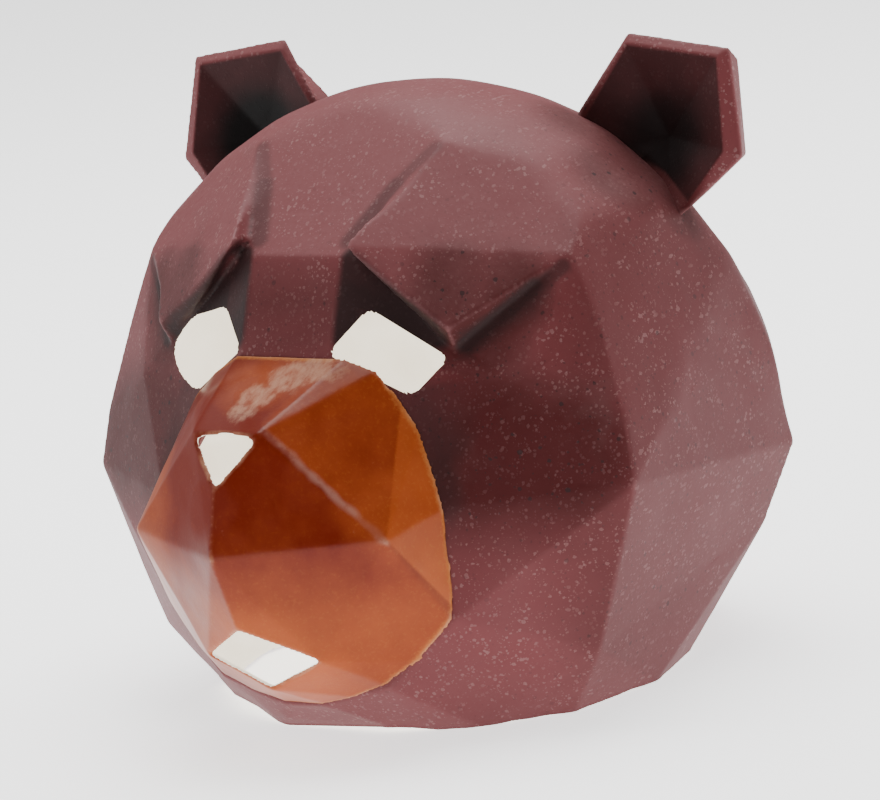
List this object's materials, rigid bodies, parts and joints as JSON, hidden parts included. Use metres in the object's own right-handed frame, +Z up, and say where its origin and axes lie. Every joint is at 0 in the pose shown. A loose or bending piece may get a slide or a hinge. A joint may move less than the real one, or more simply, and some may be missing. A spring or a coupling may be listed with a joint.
{
  "type": "latex bear mask",
  "caption": "Faceted latex bear mask worn over the whole head, with a hollow head open at the neck, a separate muzzle, round cupped ears and cut eye, nose and mouth holes",
  "frame": {"origin": "on the floor under the middle of the mask's box, at the height of the neck rim", "axes": "the bear faces -Y, its left side is +X, up is +Z"},
  "size_m": [0.284, 0.3024, 0.266],
  "materials": {
    "brown_latex": "satin latex painted mauve brown, with fine pale and dark specks",
    "orange_latex": "glossy latex painted orange brown, scuffed pale along its ridges",
    "ear_latex": "satin latex, dark maroon inside the cup"
  },
  "bodies": {
    "root": {"head_shell": "brown_latex", "muzzle": "orange_latex", "ear_left": "ear_latex", "ear_right": "ear_latex"}
  },
  "joints": []
}
